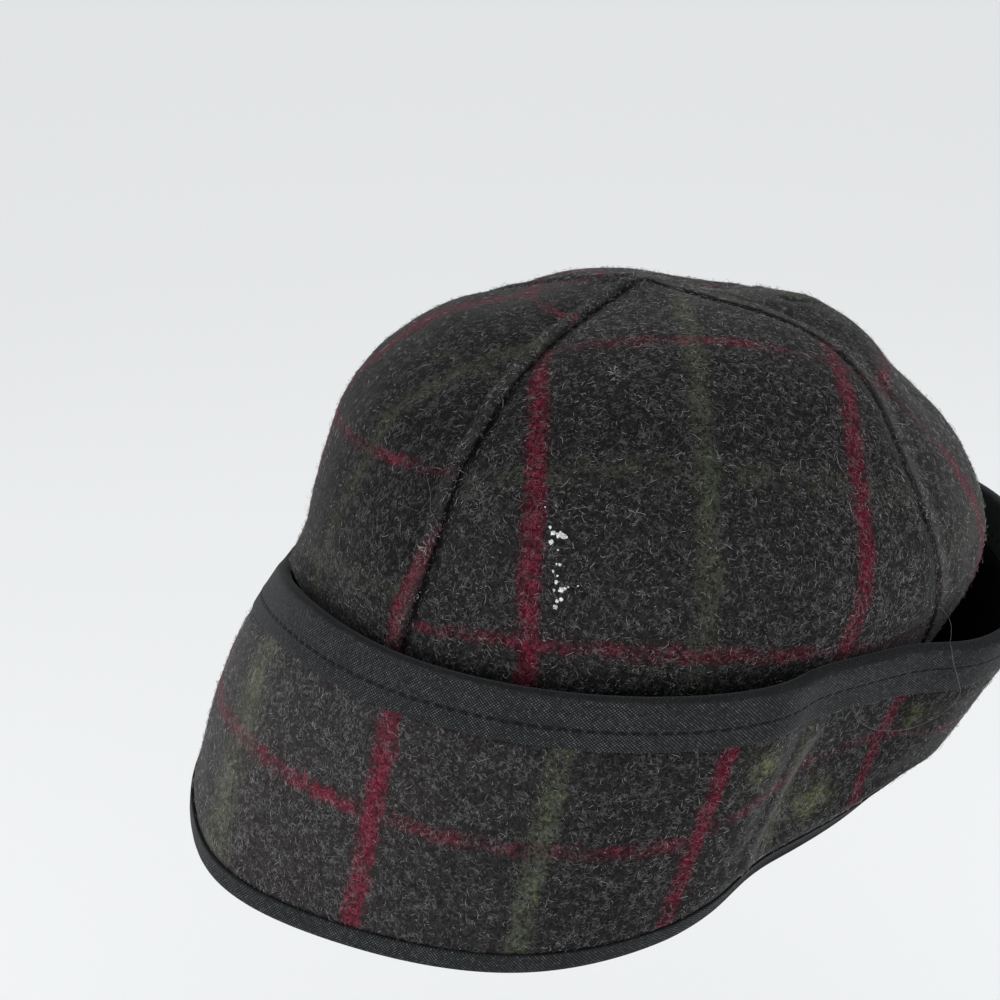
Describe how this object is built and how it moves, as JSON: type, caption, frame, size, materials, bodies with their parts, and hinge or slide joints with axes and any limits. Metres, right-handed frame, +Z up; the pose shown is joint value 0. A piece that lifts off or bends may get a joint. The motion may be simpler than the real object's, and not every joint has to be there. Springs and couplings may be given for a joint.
{
  "type": "earflap cap",
  "caption": "Soft plaid wool cap with a panelled crown and a loose wraparound earband that has taped edges and hangs below the rim.",
  "frame": {"origin": "middle of the head opening, in the plane of the crown's rim", "axes": "+Z up through the crown, -Y to the back of the cap, +X to the wearer's right"},
  "size_m": [0.2426, 0.2263, 0.1511],
  "materials": {
    "plaid_wool": "napped charcoal wool with a red and olive windowpane plaid",
    "black_cloth": "matt black lining cloth",
    "black_tape": "matt black twill tape"
  },
  "bodies": {
    "root": {"crown_panel_back": "plaid_wool", "crown_panel_left": "plaid_wool", "crown_panel_front": "plaid_wool", "crown_panel_right": "plaid_wool", "earband": "plaid_wool", "earband_lining": "black_cloth", "earband_gusset": "black_cloth", "top_binding": "black_tape", "bottom_binding": "black_tape"}
  },
  "joints": []
}
